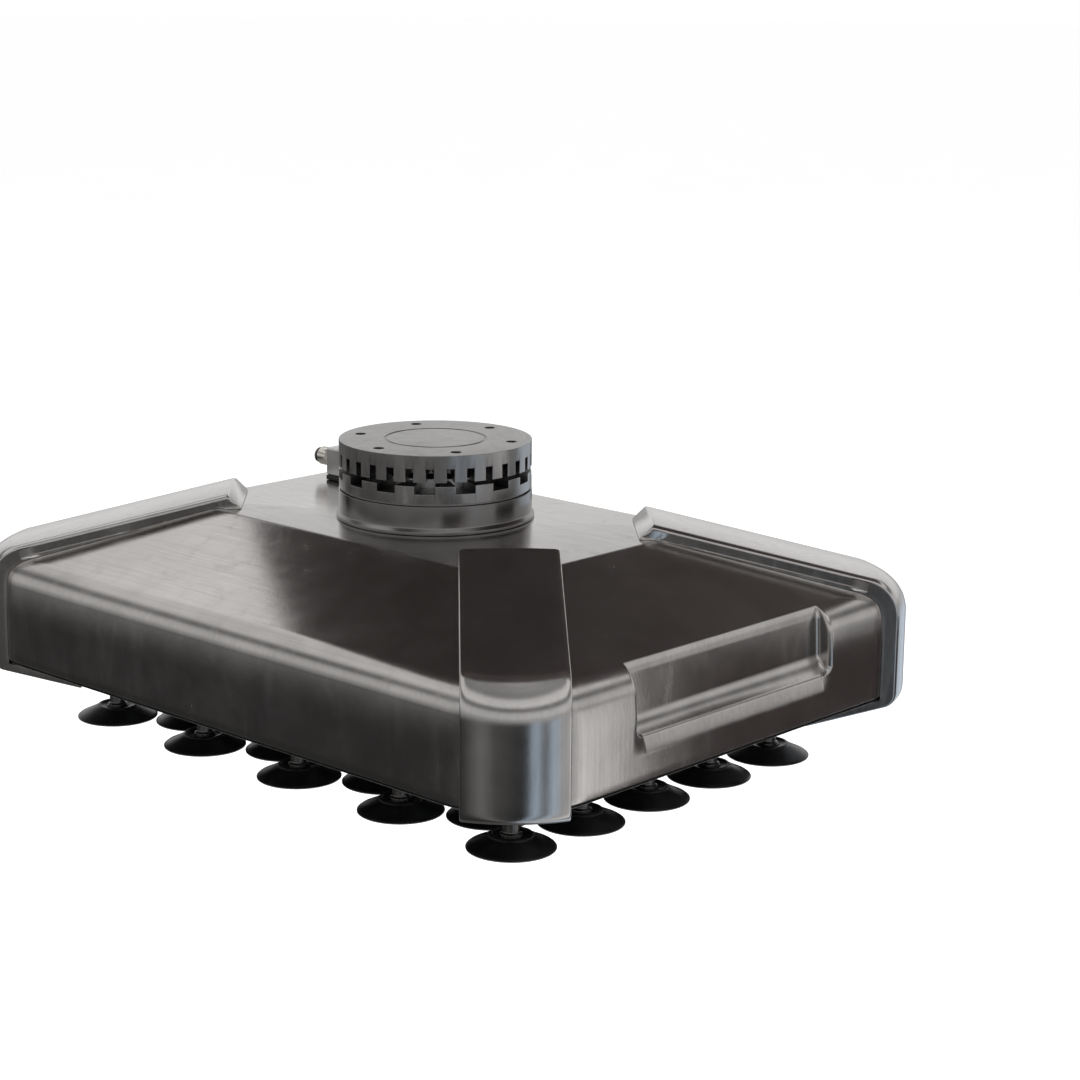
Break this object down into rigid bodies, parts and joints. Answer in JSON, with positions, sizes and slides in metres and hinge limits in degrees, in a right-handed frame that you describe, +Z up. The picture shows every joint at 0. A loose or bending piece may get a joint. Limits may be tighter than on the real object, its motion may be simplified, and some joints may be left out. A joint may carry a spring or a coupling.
{
  "type": "vacuum area gripper",
  "caption": "Robot vacuum area gripper: hipped metal housing with corner guards, toothed coupling flange on top and a field of sprung suction cups below.",
  "frame": {"origin": "centre of the robot-side face of the coupling flange, the top face of the part", "axes": "+Z up, out of the flange towards the robot; +X along the long side of the body; the cups point along -Z; -Y is the plain long side, the air port block is at -X +Y"},
  "size_m": [0.8242, 0.6242, 0.318],
  "materials": {
    "cast_body": "dark warm-grey cast body, satin, finely brushed",
    "pan": "dark satin pan",
    "seal": "matt black seal",
    "guard": "dark warm-grey guards, brushed, semi-gloss",
    "collar": "dark turned steel",
    "coupling": "dark blackened steel",
    "hub": "turned steel",
    "port": "grey milled block",
    "fitting": "nickel-plated",
    "plate": "plain milled plate",
    "ejector": "black moulded body",
    "filter": "grey moulded bowl",
    "sensor": "dark moulded case",
    "cup_rubber": "matt black rubber on a dark steel stem"
  },
  "bodies": {
    "housing": {"housing_cover": "cast_body", "base_pan": "pan", "cover_gasket": "seal", "corner_guard_front_right": "guard", "corner_guard_front_left": "guard", "corner_guard_back_right": "guard", "corner_guard_back_left": "guard", "mounting_collar": "collar", "coupling_ring_lower": "coupling", "coupling_hub": "hub", "coupling_ring_upper": "coupling", "air_port_block": "port", "port_block_seal": "seal", "air_inlet_fitting": "fitting", "spring_plate": "plate", "vacuum_ejector": "ejector", "vacuum_filter": "filter", "pressure_sensor": "sensor"},
    "cup_a11": {"suction_cup_a11": "cup_rubber"},
    "cup_a12": {"suction_cup_a12": "cup_rubber"},
    "cup_a13": {"suction_cup_a13": "cup_rubber"},
    "cup_a14": {"suction_cup_a14": "cup_rubber"},
    "cup_a15": {"suction_cup_a15": "cup_rubber"},
    "cup_a21": {"suction_cup_a21": "cup_rubber"},
    "cup_a22": {"suction_cup_a22": "cup_rubber"},
    "cup_a23": {"suction_cup_a23": "cup_rubber"},
    "cup_a24": {"suction_cup_a24": "cup_rubber"},
    "cup_a25": {"suction_cup_a25": "cup_rubber"},
    "cup_a31": {"suction_cup_a31": "cup_rubber"},
    "cup_a32": {"suction_cup_a32": "cup_rubber"},
    "cup_a33": {"suction_cup_a33": "cup_rubber"},
    "cup_a34": {"suction_cup_a34": "cup_rubber"},
    "cup_a35": {"suction_cup_a35": "cup_rubber"},
    "cup_a41": {"suction_cup_a41": "cup_rubber"},
    "cup_a42": {"suction_cup_a42": "cup_rubber"},
    "cup_a43": {"suction_cup_a43": "cup_rubber"},
    "cup_a44": {"suction_cup_a44": "cup_rubber"},
    "cup_a45": {"suction_cup_a45": "cup_rubber"},
    "cup_a51": {"suction_cup_a51": "cup_rubber"},
    "cup_a52": {"suction_cup_a52": "cup_rubber"},
    "cup_a53": {"suction_cup_a53": "cup_rubber"},
    "cup_a54": {"suction_cup_a54": "cup_rubber"},
    "cup_a55": {"suction_cup_a55": "cup_rubber"},
    "cup_b11": {"suction_cup_b11": "cup_rubber"},
    "cup_b12": {"suction_cup_b12": "cup_rubber"},
    "cup_b13": {"suction_cup_b13": "cup_rubber"},
    "cup_b14": {"suction_cup_b14": "cup_rubber"},
    "cup_b21": {"suction_cup_b21": "cup_rubber"},
    "cup_b22": {"suction_cup_b22": "cup_rubber"},
    "cup_b23": {"suction_cup_b23": "cup_rubber"},
    "cup_b24": {"suction_cup_b24": "cup_rubber"},
    "cup_b31": {"suction_cup_b31": "cup_rubber"},
    "cup_b32": {"suction_cup_b32": "cup_rubber"},
    "cup_b33": {"suction_cup_b33": "cup_rubber"},
    "cup_b34": {"suction_cup_b34": "cup_rubber"},
    "cup_b41": {"suction_cup_b41": "cup_rubber"},
    "cup_b42": {"suction_cup_b42": "cup_rubber"},
    "cup_b43": {"suction_cup_b43": "cup_rubber"},
    "cup_b44": {"suction_cup_b44": "cup_rubber"}
  },
  "joints": [
    {"name": "cup_a11_slide", "type": "slide", "parent": "housing", "child": "cup_a11", "axis": [0, 0, 1], "range_m": [0, 0.012], "stiffness_N_per_m": 300, "springref_m": -0.003},
    {"name": "cup_a12_slide", "type": "slide", "parent": "housing", "child": "cup_a12", "axis": [0, 0, 1], "range_m": [0, 0.012], "stiffness_N_per_m": 300, "springref_m": -0.003},
    {"name": "cup_a13_slide", "type": "slide", "parent": "housing", "child": "cup_a13", "axis": [0, 0, 1], "range_m": [0, 0.012], "stiffness_N_per_m": 300, "springref_m": -0.003},
    {"name": "cup_a14_slide", "type": "slide", "parent": "housing", "child": "cup_a14", "axis": [0, 0, 1], "range_m": [0, 0.012], "stiffness_N_per_m": 300, "springref_m": -0.003},
    {"name": "cup_a15_slide", "type": "slide", "parent": "housing", "child": "cup_a15", "axis": [0, 0, 1], "range_m": [0, 0.012], "stiffness_N_per_m": 300, "springref_m": -0.003},
    {"name": "cup_a21_slide", "type": "slide", "parent": "housing", "child": "cup_a21", "axis": [0, 0, 1], "range_m": [0, 0.012], "stiffness_N_per_m": 300, "springref_m": -0.003},
    {"name": "cup_a22_slide", "type": "slide", "parent": "housing", "child": "cup_a22", "axis": [0, 0, 1], "range_m": [0, 0.012], "stiffness_N_per_m": 300, "springref_m": -0.003},
    {"name": "cup_a23_slide", "type": "slide", "parent": "housing", "child": "cup_a23", "axis": [0, 0, 1], "range_m": [0, 0.012], "stiffness_N_per_m": 300, "springref_m": -0.003},
    {"name": "cup_a24_slide", "type": "slide", "parent": "housing", "child": "cup_a24", "axis": [0, 0, 1], "range_m": [0, 0.012], "stiffness_N_per_m": 300, "springref_m": -0.003},
    {"name": "cup_a25_slide", "type": "slide", "parent": "housing", "child": "cup_a25", "axis": [0, 0, 1], "range_m": [0, 0.012], "stiffness_N_per_m": 300, "springref_m": -0.003},
    {"name": "cup_a31_slide", "type": "slide", "parent": "housing", "child": "cup_a31", "axis": [0, 0, 1], "range_m": [0, 0.012], "stiffness_N_per_m": 300, "springref_m": -0.003},
    {"name": "cup_a32_slide", "type": "slide", "parent": "housing", "child": "cup_a32", "axis": [0, 0, 1], "range_m": [0, 0.012], "stiffness_N_per_m": 300, "springref_m": -0.003},
    {"name": "cup_a33_slide", "type": "slide", "parent": "housing", "child": "cup_a33", "axis": [0, 0, 1], "range_m": [0, 0.012], "stiffness_N_per_m": 300, "springref_m": -0.003},
    {"name": "cup_a34_slide", "type": "slide", "parent": "housing", "child": "cup_a34", "axis": [0, 0, 1], "range_m": [0, 0.012], "stiffness_N_per_m": 300, "springref_m": -0.003},
    {"name": "cup_a35_slide", "type": "slide", "parent": "housing", "child": "cup_a35", "axis": [0, 0, 1], "range_m": [0, 0.012], "stiffness_N_per_m": 300, "springref_m": -0.003},
    {"name": "cup_a41_slide", "type": "slide", "parent": "housing", "child": "cup_a41", "axis": [0, 0, 1], "range_m": [0, 0.012], "stiffness_N_per_m": 300, "springref_m": -0.003},
    {"name": "cup_a42_slide", "type": "slide", "parent": "housing", "child": "cup_a42", "axis": [0, 0, 1], "range_m": [0, 0.012], "stiffness_N_per_m": 300, "springref_m": -0.003},
    {"name": "cup_a43_slide", "type": "slide", "parent": "housing", "child": "cup_a43", "axis": [0, 0, 1], "range_m": [0, 0.012], "stiffness_N_per_m": 300, "springref_m": -0.003},
    {"name": "cup_a44_slide", "type": "slide", "parent": "housing", "child": "cup_a44", "axis": [0, 0, 1], "range_m": [0, 0.012], "stiffness_N_per_m": 300, "springref_m": -0.003},
    {"name": "cup_a45_slide", "type": "slide", "parent": "housing", "child": "cup_a45", "axis": [0, 0, 1], "range_m": [0, 0.012], "stiffness_N_per_m": 300, "springref_m": -0.003},
    {"name": "cup_a51_slide", "type": "slide", "parent": "housing", "child": "cup_a51", "axis": [0, 0, 1], "range_m": [0, 0.012], "stiffness_N_per_m": 300, "springref_m": -0.003},
    {"name": "cup_a52_slide", "type": "slide", "parent": "housing", "child": "cup_a52", "axis": [0, 0, 1], "range_m": [0, 0.012], "stiffness_N_per_m": 300, "springref_m": -0.003},
    {"name": "cup_a53_slide", "type": "slide", "parent": "housing", "child": "cup_a53", "axis": [0, 0, 1], "range_m": [0, 0.012], "stiffness_N_per_m": 300, "springref_m": -0.003},
    {"name": "cup_a54_slide", "type": "slide", "parent": "housing", "child": "cup_a54", "axis": [0, 0, 1], "range_m": [0, 0.012], "stiffness_N_per_m": 300, "springref_m": -0.003},
    {"name": "cup_a55_slide", "type": "slide", "parent": "housing", "child": "cup_a55", "axis": [0, 0, 1], "range_m": [0, 0.012], "stiffness_N_per_m": 300, "springref_m": -0.003},
    {"name": "cup_b11_slide", "type": "slide", "parent": "housing", "child": "cup_b11", "axis": [0, 0, 1], "range_m": [0, 0.012], "stiffness_N_per_m": 300, "springref_m": -0.003},
    {"name": "cup_b12_slide", "type": "slide", "parent": "housing", "child": "cup_b12", "axis": [0, 0, 1], "range_m": [0, 0.012], "stiffness_N_per_m": 300, "springref_m": -0.003},
    {"name": "cup_b13_slide", "type": "slide", "parent": "housing", "child": "cup_b13", "axis": [0, 0, 1], "range_m": [0, 0.012], "stiffness_N_per_m": 300, "springref_m": -0.003},
    {"name": "cup_b14_slide", "type": "slide", "parent": "housing", "child": "cup_b14", "axis": [0, 0, 1], "range_m": [0, 0.012], "stiffness_N_per_m": 300, "springref_m": -0.003},
    {"name": "cup_b21_slide", "type": "slide", "parent": "housing", "child": "cup_b21", "axis": [0, 0, 1], "range_m": [0, 0.012], "stiffness_N_per_m": 300, "springref_m": -0.003},
    {"name": "cup_b22_slide", "type": "slide", "parent": "housing", "child": "cup_b22", "axis": [0, 0, 1], "range_m": [0, 0.012], "stiffness_N_per_m": 300, "springref_m": -0.003},
    {"name": "cup_b23_slide", "type": "slide", "parent": "housing", "child": "cup_b23", "axis": [0, 0, 1], "range_m": [0, 0.012], "stiffness_N_per_m": 300, "springref_m": -0.003},
    {"name": "cup_b24_slide", "type": "slide", "parent": "housing", "child": "cup_b24", "axis": [0, 0, 1], "range_m": [0, 0.012], "stiffness_N_per_m": 300, "springref_m": -0.003},
    {"name": "cup_b31_slide", "type": "slide", "parent": "housing", "child": "cup_b31", "axis": [0, 0, 1], "range_m": [0, 0.012], "stiffness_N_per_m": 300, "springref_m": -0.003},
    {"name": "cup_b32_slide", "type": "slide", "parent": "housing", "child": "cup_b32", "axis": [0, 0, 1], "range_m": [0, 0.012], "stiffness_N_per_m": 300, "springref_m": -0.003},
    {"name": "cup_b33_slide", "type": "slide", "parent": "housing", "child": "cup_b33", "axis": [0, 0, 1], "range_m": [0, 0.012], "stiffness_N_per_m": 300, "springref_m": -0.003},
    {"name": "cup_b34_slide", "type": "slide", "parent": "housing", "child": "cup_b34", "axis": [0, 0, 1], "range_m": [0, 0.012], "stiffness_N_per_m": 300, "springref_m": -0.003},
    {"name": "cup_b41_slide", "type": "slide", "parent": "housing", "child": "cup_b41", "axis": [0, 0, 1], "range_m": [0, 0.012], "stiffness_N_per_m": 300, "springref_m": -0.003},
    {"name": "cup_b42_slide", "type": "slide", "parent": "housing", "child": "cup_b42", "axis": [0, 0, 1], "range_m": [0, 0.012], "stiffness_N_per_m": 300, "springref_m": -0.003},
    {"name": "cup_b43_slide", "type": "slide", "parent": "housing", "child": "cup_b43", "axis": [0, 0, 1], "range_m": [0, 0.012], "stiffness_N_per_m": 300, "springref_m": -0.003},
    {"name": "cup_b44_slide", "type": "slide", "parent": "housing", "child": "cup_b44", "axis": [0, 0, 1], "range_m": [0, 0.012], "stiffness_N_per_m": 300, "springref_m": -0.003}
  ]
}
